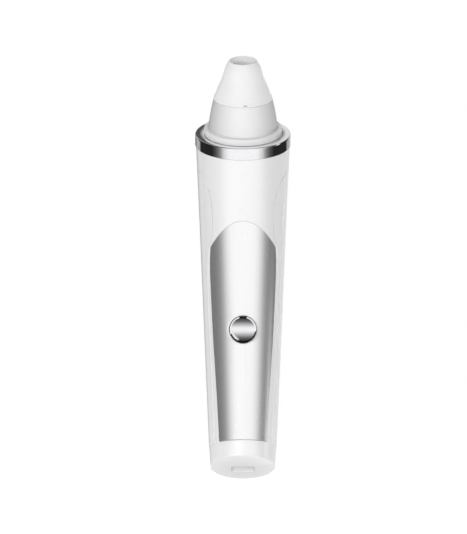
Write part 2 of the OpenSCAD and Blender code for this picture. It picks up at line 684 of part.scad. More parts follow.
// Circuit board, narrow where it reaches down into the end cap
board_foot_rise = 1.6;
board_low_z = recess_ceiling + board_foot_rise;
board_high_drop = 6.2;
board_high_z = high_pillar_z - board_high_drop;
board_neck_half_w = 4.2;
board_neck_gap = 0.8;
board_neck_slope = 1.5;
board_neck_z = cap_s + cap_spigot_h + board_neck_gap;
low_screw_rise = 6;
high_screw_drop = 9.1;
board_screw_zs = [low_pillar_z + low_screw_rise, high_pillar_z - high_screw_drop];
board_screw_len = 1.8;
board_screw_x = rail_x + rail_w / 2;
board_screw_r = 0.6;
board_hole_r = 0.75;
module main_board() color("darkgreen") button_level() difference() {
    translate([0, board_back_y, 0]) rotate([90, 0, 0]) linear_extrude(height = board_t) polygon([
        [-board_neck_half_w, board_low_z], [board_neck_half_w, board_low_z],
        [board_neck_half_w, board_neck_z],
        [board_half_w, board_neck_z + board_neck_slope], [board_half_w, board_high_z],
        [-board_half_w, board_high_z], [-board_half_w, board_neck_z + board_neck_slope],
        [-board_neck_half_w, board_neck_z]
    ]);
    translate([0, board_back_y + over, low_pillar_z]) rotate([90, 0, 0])
        cylinder(h = board_t + 2 * over, r = pillar_r + 2 * fit);
    at_board_screws() translate([0, board_back_y + over, 0]) rotate([90, 0, 0])
        cylinder(h = board_t + 2 * over, r = board_hole_r);
}

// Parts soldered to the board's front, each [x, height above the low screws, width, height, thickness]
charger = [0, 13, 5, 4, 1.5];
driver = [0, 23, 5, 6.2, 1.6];
diode = [-3, 6.5, 2.8, 2.6, 1.1];
resistor = [0, 17.5, 1.6, 0.8, 0.6];
resistor_pitch = 3.4;
socket_pad = [2.2, -15, 4, 3, 2.4];
coil_place = [1.5, 6.5];
coil_r = 2.1;
coil_h = 2;
module on_board(x, z) translate([x, board_front_y, z]) rotate([90, 0, 0]) children();
module chip(part, x) on_board(x, board_screw_zs[0] + part[1])
    translate([-part[2] / 2, -part[3] / 2, 0]) cube([part[2], part[3], part[4]]);
module board_parts() color("black") button_level() {
    for (part = [charger, driver, diode]) chip(part, part[0]);
    for (x = [-1, 0, 1]) chip(resistor, x * resistor_pitch);
    for (x = [-1, 1]) chip(socket_pad, x * socket_pad[0]);
    on_board(coil_place[0], board_screw_zs[0] + coil_place[1])
        cylinder(h = coil_h, r = coil_r, $fn = small_fn);
}

// Push switch on the board, its plunger under the button's post
switch_w = 6;
switch_well = 1.2;
well_gap = 0.05;
plunger_gap = 0.1;
plunger_low = switch_h - switch_well + button_travel + plunger_gap;
module tact_switch() color("black") along_button() translate([0, 0, -board_front_y]) difference() {
    translate([-switch_w / 2, -switch_w / 2, 0]) cube([switch_w, switch_w, switch_h]);
    translate([0, 0, switch_h - switch_well]) cylinder(h = switch_well + over, r = post_r + well_gap);
}
module switch_stem() color("dimgray") along_button() translate([0, 0, plunger_low - board_front_y])
    cylinder(h = switch_h + stem_h - plunger_low, r = post_r);

// Charging socket: a folded steel shell round a tongue
usb_sheet = 0.3;
usb_round = 0.6;
usb_back = 0.8;
usb_lift = 0.05;
usb_setback = 0.02;
tongue_share = 0.6;
tongue_t = 0.7;
tongue_y = 0.45;
usb_z = recess_ceiling + usb_lift;
module usb_shell() color("silver") button_level() translate([0, usb_y + usb_setback, usb_z]) difference() {
    rounded_bar(usb_w, usb_t, usb_h, usb_round);
    translate([0, 0, -over]) rounded_bar(
        usb_w - 2 * usb_sheet, usb_t - 2 * usb_sheet, usb_h + over - usb_back, usb_round - usb_sheet / 2
    );
}
module usb_tongue() color("black") button_level()
    translate([-usb_w * tongue_share / 2, usb_y - tongue_y, usb_z + usb_round])
    cube([usb_w * tongue_share, tongue_t, usb_h - usb_round - usb_back]);

cell_cap_h = 0.8;
cell_cap_share = 0.45;
module battery_cell() color("royalblue") button_level() translate([0, cell_y, cell_z]) {
    cylinder(h = cell_len - cell_cap_h, r = cell_r);
    translate([0, 0, cell_len - cell_cap_h]) cylinder(h = cell_cap_h, r = cell_r * cell_cap_share);
}

// Leads from the cell over its top to the back of the board
lead_r = 0.5;
lead_gap = 0.05;
pad_gap = 0.1;
cell_lead_x = 2.6;
cell_tab_x = 1.56;
cell_lead_reach = 4.3;
cell_lead_rise = 1.8;
cell_lead_drop = 1.2;
cell_lead_end = 2;
lead_pad_y = board_back_y + lead_r + pad_gap;
module battery_leads() color("firebrick") button_level() for (x = [-1, 1]) wire([
    [x * cell_tab_x, cell_y, cell_top_z + lead_r + lead_gap],
    [x * cell_lead_x, cell_y - cell_lead_reach, cell_top_z + cell_lead_rise],
    [x * cell_lead_x, lead_pad_y, cell_top_z + cell_lead_drop],
    [x * cell_lead_x, lead_pad_y, cell_top_z - cell_lead_end]
], lead_r);

hex_r = 0.7;
hex_depth = 0.7;
shank_overlap = 0.3;
module housing_screws() color("silver") button_level() for (z = pillar_zs)
    translate([0, head_seat_y(z), z]) rotate([90, 0, 0]) difference() {
        union() {
            cylinder(h = screw_head_h, r = screw_head_r);
            translate([0, 0, shank_overlap - screw_len]) cylinder(h = screw_len, r = screw_r);
        }
        translate([0, 0, screw_head_h - hex_depth]) cylinder(h = over, r = hex_r, $fn = 6);
    }

small_head_h = 0.7;
small_head_r = 1.1;
small_shank_overlap = 0.2;
module board_screws() color("silver") button_level() at_board_screws() on_board(0, 0) {
    cylinder(h = small_head_h, r = small_head_r);
    translate([0, 0, small_shank_overlap - board_t - board_screw_len])
        cylinder(h = board_t + board_screw_len, r = board_screw_r);
}

// Motor and pump stand on one axis, square to the centreline at pump_s
motor_drop = 5.5;
pump_s = motor_foot_s + motor_len + motor_drop;
motor_top = -motor_drop;
motor_low = motor_top - motor_len;
sleeve_rise = 1;
sleeve_low = motor_low + sleeve_rise;
sleeve_sag = sleeve_low * sleeve_low / (2 * bend_r);
sleeve_gap = 0.25;
sleeve_bore_gap = 0.05;
sleeve_r = skin_r(pump_s + sleeve_low) - wall - sleeve_sag - sleeve_gap;
motor_r = sleeve_r - sleeve_t - sleeve_bore_gap;
motor_cap_h = 2;
can_t = 0.7;
magnet_t = 3;
magnet_gap = 0.05;
magnet_low_rise = 4;
magnet_high_drop = 3;
magnet_split = 3;
bush_r = 2.6;
bush_len = 2;
bush_proud = 1;
bush_gap = 0.02;
shaft_gap = 0.03;
press_gap = 0.01;
module in_pump() across(pump_s) children();
module motor_can() color("lightsteelblue") in_pump() translate([0, 0, motor_low]) difference() {
    cylinder(h = motor_len, r = motor_r);
    translate([0, 0, -over]) cylinder(h = motor_len - can_t + over, r = motor_r - can_t);
    cylinder(h = motor_len + over, r = bush_r + bush_gap);
}
magnet_foot = motor_low + magnet_low_rise;
module motor_magnets() color("dimgray") in_pump() translate([0, 0, magnet_foot]) difference() {
    tube(motor_r - can_t - magnet_gap, motor_r - can_t - magnet_t,
        motor_len - magnet_low_rise - magnet_high_drop);
    for (x = [-1, 1]) translate([x * (motor_r - can_t) - magnet_split / 2, -motor_r, -over])
        cube([magnet_split, 2 * motor_r, motor_len]);
}
terminal_x = 7;
terminal_len = 2;
terminal_t = 0.6;
terminal_w = 2.4;
terminal_tail = 2.5;
terminal_gap = 0.2;
terminal_slot_gap = 0.6;
eyelet_r = 0.45;
eyelet_rise = 1;
terminal_tip = motor_low - motor_cap_h - terminal_len;
cap_step = 0.3;
cap_plug_h = 1.5;
cap_plug_gap = 0.1;
module motor_end_cap() color("ivory") in_pump() translate([0, 0, motor_low - motor_cap_h]) difference() {
    union() {
        cylinder(h = motor_cap_h, r = motor_r - cap_step);
        cylinder(h = motor_cap_h + cap_plug_h, r = motor_r - can_t - cap_plug_gap);
    }
    translate([0, 0, -over]) cylinder(h = motor_cap_h + 4 * over, r = bush_r + bush_gap);
    for (x = [-1, 1])
        translate([
            x * terminal_x - terminal_slot_gap - terminal_t / 2, -terminal_w / 2 - terminal_gap, -over
        ])
        cube([terminal_t + 2 * terminal_slot_gap, terminal_w + 2 * terminal_gap, motor_cap_h + 4 * over]);
}
module motor_terminals() color("goldenrod") in_pump() for (x = [-1, 1])
    translate([x * terminal_x - terminal_t / 2, -terminal_w / 2, terminal_tip]) difference() {
        cube([terminal_t, terminal_w, terminal_len + motor_cap_h + terminal_tail]);
        translate([-over, terminal_w / 2, eyelet_rise]) rotate([0, 90, 0])
            cylinder(h = 3 * over, r = eyelet_r, $fn = small_fn);
    }
module motor_bushes() color("peru") in_pump() {
    translate([0, 0, motor_top - bush_len]) tube(bush_r, shaft_r + shaft_gap, bush_len + bush_proud);
    translate([0, 0, motor_low - motor_cap_h]) tube(bush_r, shaft_r + shaft_gap, bush_len);
}

// Leads from the motor's terminals down to the back of the board
motor_lead_step = [3, 3.5];
motor_lead_back = 2.5;
motor_lead_rise = 1.6;
motor_lead_end = 1.5;
function on_axis(s, z) =
    [bend_r * (cos(turn(s)) - 1) - z * sin(turn(s)), bend_r * sin(turn(s)) + z * cos(turn(s))];
module motor_leads() color("firebrick") button_level() {
    tip = on_axis(pump_s, terminal_tip - lead_r - lead_gap);
    for (x = [-1, 1]) wire([
        [x * terminal_x, tip[0], tip[1]],
        [x * board_half_w, tip[0] - motor_lead_step[0], tip[1] - motor_lead_step[1]],
        [x * board_half_w, lead_pad_y + motor_lead_back, board_high_z + motor_lead_rise],
        [x * board_half_w, lead_pad_y, board_high_z - motor_lead_end]
    ], lead_r);
}

rotor_gap = 0.5;
rotor_r = motor_r - can_t - magnet_t - rotor_gap;
rotor_low_rise = 6;
rotor_low = motor_low + rotor_low_rise;
rotor_high_drop = 5;
rotor_len = motor_len - rotor_low_rise - rotor_high_drop;
commutator_h = 3;
commutator_r = 2.6;
hub_h = 1;
hub_r = 3.4;
slot_from = 4.4;
slot_w = 1.2;
module motor_rotor() color("saddlebrown") in_pump() translate([0, 0, rotor_low]) difference() {
    union() {
        cylinder(h = rotor_len, r = rotor_r);
        translate([0, 0, -commutator_h]) cylinder(h = commutator_h, r = commutator_r);
        translate([0, 0, rotor_len]) cylinder(h = hub_h, r = hub_r);
    }
    for (a = [0:120:359]) rotate(a) translate([slot_from, -slot_w / 2, -over])
        cube([rotor_r, slot_w, rotor_len + 3 * over]);
    translate([0, 0, -commutator_h - over])
        cylinder(h = commutator_h + rotor_len + hub_h + 2 * over, r = shaft_r + press_gap);
}
shaft_inset = 0.3;
shaft_low = motor_low - motor_cap_h + shaft_inset;
module motor_shaft() color("lightgray") in_pump() translate([0, 0, shaft_low])
    cylinder(h = ecc_low + shaft_depth - shaft_low, r = shaft_r);

// Rubber sleeve that carries the motor in the shells
sleeve_len = 10;
sleeve_bore_r = motor_r + sleeve_bore_gap;
sleeve_bead = 2.5;
sleeve_waist = 0.6;
sleeve_waist_r = sleeve_r - sleeve_waist;
module motor_sleeve() color("darkslategray") in_pump() translate([0, 0, sleeve_low]) turned([
    [sleeve_bore_r, 0], [sleeve_r, 0], [sleeve_r, sleeve_bead], [sleeve_waist_r, sleeve_bead + sleeve_waist],
    [sleeve_waist_r, sleeve_len - sleeve_bead - sleeve_waist], [sleeve_r, sleeve_len - sleeve_bead],
    [sleeve_r, sleeve_len], [sleeve_bore_r, sleeve_len]
]);

// Diaphragm pump: cup, eccentric, slanting pin, wobble plate, rubber, valves
base_floor = 1.5;
base_wall = 1.3;
base_h = 9.5;
window_w = 3;
window_h = 3;
window_rise = 1;
ecc_rise = 1.3;
ecc_low = motor_top + base_floor + ecc_rise;
ecc_h = 2.6;
ecc_r = 4.2;
ecc_hub_r = 2.2;
ecc_hub_h = 0.8;
shaft_depth = 1.1;
pin_r = 0.75;
pin_floor = 0.3;
pin_low = ecc_low + shaft_depth + pin_floor;
pin_end_gap = 0.5;
plate_gap = 0.4;
plate_boss_r = 2.2;
plate_boss_h = 1.3;
plate_skin = 0.4;
pivot_z = ecc_low + ecc_h + plate_gap + plate_boss_h;
arm_t = 0.9;
arm_w = 3;
arm_len = 8.6;
cup_ring = 6.6;
cup_r = 3.3;
cup_h = 1.1;
cup_wall = 0.7;
sheet_t = 0.8;
plate_t = 2;
cover_h = 4;
cover_roof = 1.2;
cover_rim = 3.1;
cover_edge = 0.5;
hose_nipple_len = 4;
pump_screw_r = 0.7;
pump_screw_inset = 1.9;
pump_screw_boss = 1;
pump_hole_r = 0.8;
sheet_z = motor_top + base_h;
plate_z = sheet_z + sheet_t;
cover_z = plate_z + plate_t;
cover_top = cover_z + cover_h;
module at_lobes() for (a = [0:120:359]) rotate(a) translate([cup_ring, 0, 0]) children();
module at_pump_screws() for (a = [60:120:359]) rotate(a)
    translate([pump_r - pump_screw_inset, 0, 0]) children();
module pump_base() color("whitesmoke") in_pump() translate([0, 0, motor_top]) difference() {
    cylinder(h = base_h, r = pump_r);
    translate([0, 0, base_floor]) difference() {
        cylinder(h = base_h, r = pump_r - base_wall);
        at_pump_screws() translate([0, 0, -over])
            cylinder(h = base_h + 2 * over, r = pump_screw_r + pump_screw_boss);
    }
    translate([0, 0, -over]) cylinder(h = base_h, r = bush_r + sleeve_bore_gap);
    at_pump_screws() translate([0, 0, base_floor]) cylinder(h = base_h, r = pump_screw_r);
    for (a = [0:120:359]) rotate(a)
        translate([pump_r - 2 * base_wall, -window_w / 2, base_floor + window_rise])
        cube([3 * base_wall, window_w, window_h]);
}
// The pin leans about the pivot, so its lower end sits off the shaft's axis
module along_pin() translate([0, 0, pivot_z]) rotate([0, wobble, 0]) children();
module pump_eccentric() color("white") in_pump() difference() {
    union() {
        translate([0, 0, ecc_low]) cylinder(h = ecc_h, r = ecc_r);
        translate([0, 0, ecc_low - ecc_hub_h]) cylinder(h = ecc_h, r = ecc_hub_r);
    }
    translate([0, 0, ecc_low - 2 * over]) cylinder(h = shaft_depth + 2 * over, r = shaft_r + press_gap);
    along_pin() translate([0, 0, pin_low - pivot_z]) cylinder(h = 3 * ecc_h, r = pin_r + press_gap);
}
module crank_pin() color("lightgray") in_pump() along_pin() translate([0, 0, pin_low - pivot_z + shaft_gap])
    cylinder(h = pivot_z - pin_low - pin_end_gap, r = pin_r);
module wobble_plate() color("ivory") in_pump() along_pin() difference() {
    union() {
        translate([0, 0, -plate_boss_h]) cylinder(h = plate_boss_h, r = plate_boss_r);
        for (a = [0:120:359]) rotate(a) translate([0, 0, -arm_t]) linear_extrude(height = arm_t) hull() {
            circle(r = arm_w / 2, $fn = small_fn);
            translate([arm_len - arm_w / 2, 0]) circle(r = arm_w / 2, $fn = small_fn);
        }
    }
    translate([0, 0, -plate_boss_h - over])
        cylinder(h = plate_boss_h + over - plate_skin, r = pin_r + shaft_gap);
}
module pump_diaphragm() color("dimgray") in_pump() difference() {
    union() {
        translate([0, 0, sheet_z]) cylinder(h = sheet_t, r = pump_r);
        at_lobes() translate([0, 0, sheet_z - cup_h]) cylinder(h = cup_h + sheet_t / 2, r = cup_r);
    }
    at_lobes() translate([0, 0, sheet_z - cup_h + cup_wall])
        cylinder(h = cup_h + sheet_t, r = cup_r - cup_wall);
    at_pump_screws() translate([0, 0, sheet_z - over]) cylinder(h = sheet_t + 2 * over, r = pump_hole_r);
}
flap_r = 1.9;
flap_t = 0.4;
flap_gap = 0.1;
valve_hole_r = 0.5;
valve_hole_x = 1.1;
module valve_plate() color("whitesmoke") in_pump() translate([0, 0, plate_z]) difference() {
    cylinder(h = plate_t, r = pump_r);
    at_lobes() for (x = [-1, 1]) translate([x * valve_hole_x, 0, -over])
        cylinder(h = plate_t + 2 * over, r = valve_hole_r, $fn = small_fn);
    at_lobes() translate([0, 0, plate_t - flap_t]) cylinder(h = flap_t + over, r = flap_r + flap_gap);
    at_pump_screws() translate([0, 0, -over]) cylinder(h = plate_t + 2 * over, r = pump_hole_r);
}
module valve_flaps() color("black") in_pump() at_lobes() translate([0, 0, cover_z - flap_t])
    cylinder(h = flap_t, r = flap_r);
module pump_cover() color("whitesmoke") in_pump() translate([0, 0, cover_z]) difference() {
    union() {
        cylinder(h = cover_h - cover_edge, r = pump_r);
        translate([0, 0, cover_h - cover_edge])
            cylinder(h = cover_edge, r1 = pump_r, r2 = pump_r - cover_edge);
        translate([0, 0, cover_h]) barbed_nipple(-over, hose_nipple_len);
    }
    translate([0, 0, -over]) cylinder(h = cover_h - cover_roof + over, r = pump_r - cover_rim);
    cylinder(h = cover_h + hose_nipple_len + over, r = nipple_bore_r);
    at_pump_screws() translate([0, 0, -over]) cylinder(h = cover_h + 2 * over, r = pump_hole_r);
}
pump_screw_len = 12;
pump_head_h = 0.9;
pump_head_r = 1.3;
driver_w = 0.3;
driver_depth = 0.4;
module pump_screws() color("silver") in_pump() at_pump_screws() translate([0, 0, cover_top]) difference() {
    union() {
        cylinder(h = pump_head_h, r = pump_head_r);
        translate([0, 0, -pump_screw_len]) cylinder(h = pump_screw_len, r = pump_screw_r - thread_gap);
    }
    translate([-pump_screw_r - driver_w, -driver_w / 2, pump_head_h - driver_depth])
        cube([2 * (pump_screw_r + driver_w), driver_w, over]);
}

// Silicone tube between the two nipples, which lean towards each other
tube_gap = 0.05;
tube_wall = 1.2;
tube_bore_r = nipple_r + barb + tube_gap;
tube_r = tube_bore_r + tube_wall;
tube_bend_r = 36;
tube_turn = turn(collar_s - pump_s);
tube_straight = (bend_r - tube_bend_r) * tan(tube_turn / 2);
tube_sides = 16;
tube_steps = 4;
pump_turn = turn(pump_s);
tube_stations = concat(
    [[on_axis(pump_s, cover_top + fit), pump_turn]],
    [for (i = [0:tube_steps]) let (a = pump_turn + tube_turn * i / tube_steps) [
        on_axis(pump_s, tube_straight) + tube_bend_r * [cos(a) - cos(pump_turn), sin(a) - sin(pump_turn)], a
    ]],
    [[on_axis(collar_s, seat_top - seat_plate - fit), turn(collar_s)]]
);
function tube_rings(r) = [for (t = tube_stations) [
    for (k = [0:tube_sides]) let (a = 360 * (k % tube_sides) / tube_sides)
        [r * sin(a), t[0][0] - r * cos(a) * cos(t[1]), t[0][1] - r * cos(a) * sin(t[1])]
]];
module suction_tube() color("lightcyan") button_level() {
    outer = tube_rings(tube_r);
    inner = tube_rings(tube_bore_r / cos(180 / tube_sides));
    last = len(outer) - 1;
    patched_solid([outer, flipped(inner), [inner[0], outer[0]], [outer[last], inner[last]]]);
}

front_shell();
rear_shell();
metal_panel();
end_cap();
button_cap();
collar_ring();
nozzle_seat();
nozzle_o_ring();
filter_sponge();
nozzle_dome();
suction_tip();
inner_frame();
main_board();
board_parts();
tact_switch();
switch_stem();
usb_shell();
usb_tongue();
battery_cell();
battery_leads();
housing_screws();
board_screws();
motor_can();
motor_magnets();
motor_end_cap();
motor_terminals();
motor_bushes();
motor_leads();
motor_rotor();
motor_shaft();
motor_sleeve();
pump_base();
pump_eccentric();
crank_pin();
wobble_plate();
pump_diaphragm();
valve_plate();
valve_flaps();
pump_cover();
pump_screws();
suction_tube();
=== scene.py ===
# A hand-held suction wand for facial skin: a curved white body with a satin metal panel and a
# round push button in front, a plated collar, and a frosted nozzle with a pointed suction tip.
# +Z is up towards the tip, and the button faces -Y. The scene is in metres: the sizes of pieces are
# written in plain millimetres, and mm turns them into metres.
import json
import math

import bpy
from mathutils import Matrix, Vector

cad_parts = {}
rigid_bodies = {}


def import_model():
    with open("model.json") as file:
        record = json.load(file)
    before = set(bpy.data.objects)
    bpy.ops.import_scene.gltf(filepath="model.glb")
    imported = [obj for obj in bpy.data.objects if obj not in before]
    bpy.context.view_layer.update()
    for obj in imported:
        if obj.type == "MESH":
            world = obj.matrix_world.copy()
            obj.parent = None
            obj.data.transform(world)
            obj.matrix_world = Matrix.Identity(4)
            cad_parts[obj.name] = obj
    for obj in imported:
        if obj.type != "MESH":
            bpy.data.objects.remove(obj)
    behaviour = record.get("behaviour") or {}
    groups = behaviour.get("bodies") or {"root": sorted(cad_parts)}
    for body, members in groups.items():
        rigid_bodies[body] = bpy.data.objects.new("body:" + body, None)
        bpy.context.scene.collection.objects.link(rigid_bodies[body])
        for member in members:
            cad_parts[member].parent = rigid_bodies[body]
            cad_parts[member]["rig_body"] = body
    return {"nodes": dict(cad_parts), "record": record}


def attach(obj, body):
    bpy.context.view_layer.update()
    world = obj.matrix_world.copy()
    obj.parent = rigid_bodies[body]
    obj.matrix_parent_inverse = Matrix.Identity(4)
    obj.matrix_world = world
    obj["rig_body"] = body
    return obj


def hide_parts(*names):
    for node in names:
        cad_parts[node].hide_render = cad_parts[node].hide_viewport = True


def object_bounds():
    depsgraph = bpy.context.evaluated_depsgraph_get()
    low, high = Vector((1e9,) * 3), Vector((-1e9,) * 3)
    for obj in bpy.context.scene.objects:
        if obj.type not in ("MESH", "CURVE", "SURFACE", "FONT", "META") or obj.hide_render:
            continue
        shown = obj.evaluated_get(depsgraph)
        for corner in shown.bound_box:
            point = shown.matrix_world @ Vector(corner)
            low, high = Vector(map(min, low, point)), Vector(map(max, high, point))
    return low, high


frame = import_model()
cad_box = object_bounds()
nodes = frame["nodes"]


# Camera
# A long lens straight in front of the wand, level with its middle. The wand stands a little to the
# right of the frame's middle, as it does in the photograph.
mm = 0.001
pixel = 0.43 * mm
picture_height = 534 * pixel
wand_right_of_middle = 9.5 * pixel
button_below_middle = 62.5 * pixel
axis_at_button = Vector((0, 9.1286, 64.5288)) * mm
camera_far = 5.0
sensor_height = 24.0
camera_data = bpy.data.cameras.new("camera")
camera_data.sensor_fit = "VERTICAL"
camera_data.sensor_height = sensor_height
camera_data.lens = sensor_height * camera_far / picture_height
camera = bpy.data.objects.new("camera", camera_data)
bpy.context.scene.collection.objects.link(camera)
camera.location = (-wand_right_of_middle, -camera_far, axis_at_button.z + button_below_middle)
camera.rotation_euler = (math.radians(90), 0, 0)
bpy.context.scene.camera = camera
bpy.context.scene.view_settings.view_transform = "Standard"


# Studio tent
# White in front and grey behind, with open dark sides, which draw the dark bands down polished
# metal. Matt surfaces get an even light instead, and the camera sees plain white.
def shader_node(tree, kind, inputs=None, **settings):
    """A new node, whose inputs are plain values or outputs of other nodes."""
    made = tree.nodes.new(kind)
    for name, value in settings.items():
        setattr(made, name, value)
    for socket, value in (inputs or {}).items():
        if isinstance(value, bpy.types.NodeSocket):
            tree.links.new(value, made.inputs[socket])
        else:
            made.inputs[socket].default_value = value
    return made


def maths(tree, operation, *values):
    """The result of a sum or comparison of numbers."""
    made = shader_node(tree, "ShaderNodeMath", dict(enumerate(values)), operation=operation)
    return made.outputs[0]


def vector_maths(tree, operation, *values):
    """The result of a sum of vectors, which is a number for a length and a dot product."""
    made = shader_node(tree, "ShaderNodeVectorMath", dict(enumerate(values)), operation=operation)
    return made.outputs["Value" if operation in ("LENGTH", "DOT_PRODUCT") else "Vector"]


def graded(tree, value, start, end, low=0.0, high=1.0):
    """Goes from low to high while the value goes from start to end."""
    made = shader_node(tree, "ShaderNodeMapRange", {
        "Value": value, "From Min": start, "From Max": end, "To Min": low, "To Max": high})
    return made.outputs[0]


def mixed(tree, share, first, second):
    """Goes from the first colour to the second as the share goes from 0 to 1."""
    made = shader_node(tree, "ShaderNodeMix", {0: share, 6: first, 7: second}, data_type="RGBA")
    return made.outputs[2]


def grey(level):
    return (level, level, level, 1)


def ramp(tree, share, stops):
    """Greys that change along a row of (place, grey) stops."""
    made = shader_node(tree, "ShaderNodeValToRGB", {"Fac": share})
    while len(made.color_ramp.elements) < len(stops):
        made.color_ramp.elements.new(0.5)
    for element, (place, level) in zip(made.color_ramp.elements, stops):
        element.position = place
        element.color = grey(level)
    return made.outputs["Color"]


world = bpy.data.worlds.new("tent")
bpy.context.scene.world = world
world.use_nodes = True
tent = world.node_tree
tent.nodes.clear()
direction = shader_node(tent, "ShaderNodeTexCoord").outputs["Generated"]
away = shader_node(tent, "ShaderNodeSeparateXYZ", {0: direction}).outputs
flattened = shader_node(tent, "ShaderNodeCombineXYZ", {"X": away["X"], "Y": away["Y"]}).outputs[0]
level_direction = vector_maths(tent, "NORMALIZE", flattened)
level_away = shader_node(tent, "ShaderNodeSeparateXYZ", {0: level_direction}).outputs
towards_front = graded(tent, level_away["Y"], 1, -1)

# Above the floor the dark sides reach further to the front, most on the left.
above_floor = graded(tent, away["Z"], -0.45, -0.1)
further = graded(tent, level_away["X"], -0.06, 0.06, 0.08, 0.05)
moved_back = maths(tent, "MULTIPLY", above_floor, further)
walls = ramp(tent, maths(tent, "SUBTRACT", towards_front, moved_back), [
    (0.0, 0.3), (0.085, 0.25), (0.11, 0.015), (0.5, 0.012), (0.6, 0.05), (0.66, 0.1), (0.72, 0.21),
    (0.78, 0.45), (0.87, 0.64), (0.9, 0.667)])
straight_behind = graded(tent, towards_front, 0.05, 0.03)
back_wall = graded(tent, level_away["X"], -0.06, 0.06, 0.06, 0.5)
walls = mixed(tent, straight_behind, walls, back_wall)

# A pale strip stands in the dark of the right side.
high_enough = graded(tent, away["Z"], -0.2, 0.2)
right_enough = graded(tent, level_away["X"], 0.985, 0.999)
not_behind = graded(tent, towards_front, 0.42, 0.47)
strip = maths(tent, "MULTIPLY", maths(tent, "MULTIPLY", high_enough, right_enough), not_behind)
walls = mixed(tent, strip, walls, grey(0.75))

# It is dark straight above and straight below.
up_or_down = graded(tent, maths(tent, "ABSOLUTE", away["Z"]), 0.9, 0.95)
tent_colour = mixed(tent, up_or_down, walls, grey(0.01))
tent_light = shader_node(tent, "ShaderNodeBackground", {"Color": tent_colour, "Strength": 1.5})
even_light = shader_node(tent, "ShaderNodeBackground", {"Color": grey(0.36)})
plain_white = shader_node(tent, "ShaderNodeBackground", {"Color": grey(1)})
ray = shader_node(tent, "ShaderNodeLightPath").outputs
lit = shader_node(tent, "ShaderNodeMixShader", {
    "Fac": ray["Is Diffuse Ray"], 1: tent_light.outputs[0], 2: even_light.outputs[0]})
seen = shader_node(tent, "ShaderNodeMixShader", {
    "Fac": ray["Is Camera Ray"], 1: lit.outputs[0], 2: plain_white.outputs[0]})
shader_node(tent, "ShaderNodeOutputWorld", {"Surface": seen.outputs[0]})


# Lamps
# Soft panels: a large one in front to the left, one above, and a weak one behind each side, which
# lights the edge of the body there. Polished metal mirrors the tent and not the lamps.
wand_middle = (0, 0, 0.09)
for name, place, aim, size, watts in (
        ("front_lamp", (-0.33, -1.08, 0.3), wand_middle, (0.5, 0.7), 5.15),
        ("top_lamp", (0.0, 0.1, 1.2), wand_middle, (0.8, 0.6), 1.5),
        ("left_rim", (-0.84, 0.71, 0.2), wand_middle, (0.3, 0.6), 1.7),
        ("right_rim", (0.36, 0.3, 0.04), (0, 0, 0.05), (0.12, 0.2), 1.35)):
    light = bpy.data.lights.new(name, "AREA")
    light.shape = "RECTANGLE"
    light.size, light.size_y = size
    light.energy = watts
    lamp = bpy.data.objects.new(name, light)
    bpy.context.scene.collection.objects.link(lamp)
    lamp.location = place
    east, north, up = [aim[i] - place[i] for i in range(3)]
    raised = math.pi / 2 + math.atan2(up, math.hypot(east, north))
    lamp.rotation_euler = (raised, 0, math.atan2(-east, north))
    lamp.visible_glossy = False


# Floor
# A sheet of matt white board. The camera sees it nearly white, so that it runs into the
# background, and it still takes the wand's shadow. It lights the wand from below with a glow that
# is painted darker under the wand, a painted shadow, and dimmer further out.
board_size = 4000
gap_under_wand = 0.2
wand_shades_over = 100
board_top = cad_box[0][2] - gap_under_wand * mm
bpy.ops.object.select_all(action="DESELECT")
bpy.ops.mesh.primitive_plane_add(size=board_size * mm, location=(0, 0, board_top))
floor = bpy.context.object
floor.name = "floor"
floor_board = bpy.data.materials.new("floor_board")
floor_board.use_nodes = True
board = floor_board.node_tree
board.nodes.clear()
matt = shader_node(board, "ShaderNodeBsdfDiffuse", {"Color": grey(0.35)})
lift = shader_node(board, "ShaderNodeEmission", {"Color": grey(0.86)})
shown = shader_node(board, "ShaderNodeAddShader", {0: matt.outputs[0], 1: lift.outputs[0]})
# Painted shadow: the light the board gives from below is darker near the wand's middle, and dimmer
# again further out.
on_board = shader_node(board, "ShaderNodeTexCoord").outputs["Object"]
off_centre = vector_maths(board, "LENGTH", on_board)
clear_of_wand = graded(board, off_centre, 0, wand_shades_over * mm)
bounce_with_painted_shadow = ramp(board, clear_of_wand, [(0.0, 0.53), (0.3, 1.0), (0.9, 0.7)])
painted_bounce_light = shader_node(board, "ShaderNodeEmission", {"Color": bounce_with_painted_shadow, "Strength": 1.35})
from_camera = shader_node(board, "ShaderNodeLightPath").outputs["Is Camera Ray"]
board_surface = shader_node(board, "ShaderNodeMixShader", {
    "Fac": from_camera, 1: painted_bounce_light.outputs[0], 2: shown.outputs[0]})
shader_node(board, "ShaderNodeOutputMaterial", {"Surface": board_surface.outputs[0]})
floor.data.materials.append(floor_board)
floor.visible_glossy = False


# White body shells
# The front and rear halves of the housing, injection moulded in ABS and lacquered pearl white.
# They clip together along the leaf-shaped seams at the sides, and the front one holds the panel.
bend_radius = 230
cap_radius, collar_radius = 14.6, 20.2
cap_to_button, button_to_collar = 50.8, 81.2
taper = (collar_radius - cap_radius) / (cap_to_button + button_to_collar)
bend_centre = axis_at_button - Vector((0, bend_radius, 0)) * mm
smooth_under = math.radians(30)


def skin_normal(point):
    """The outward direction of the body's skin, a cone bent to an arc."""
    bend = bend_radius * mm
    out_y, out_z = point[1] - bend_centre.y, point[2] - bend_centre.z
    reach = math.hypot(out_y, out_z)
    out = Vector((0, out_y / reach, out_z / reach))
    along = Vector((0, -out.z, out.y))
    across = Vector((point[0], 0, 0)) + out * (reach - bend)
    return (across.normalized() - along * taper * bend / reach).normalized()


def choose(piece):
    """Selects one piece alone and makes it active."""
    bpy.ops.object.select_all(action="DESELECT")
    piece.select_set(True)
    bpy.context.view_layer.objects.active = piece


def round_edges(piece, width, segments, **settings):
    """Bevels the active piece's edges, by a width in millimetres."""
    bevel = piece.modifiers.new("rounded", "BEVEL")
    bevel.width = width * mm
    bevel.segments = segments
    for name, value in settings.items():
        setattr(bevel, name, value)
    bpy.ops.object.modifier_apply(modifier=bevel.name)


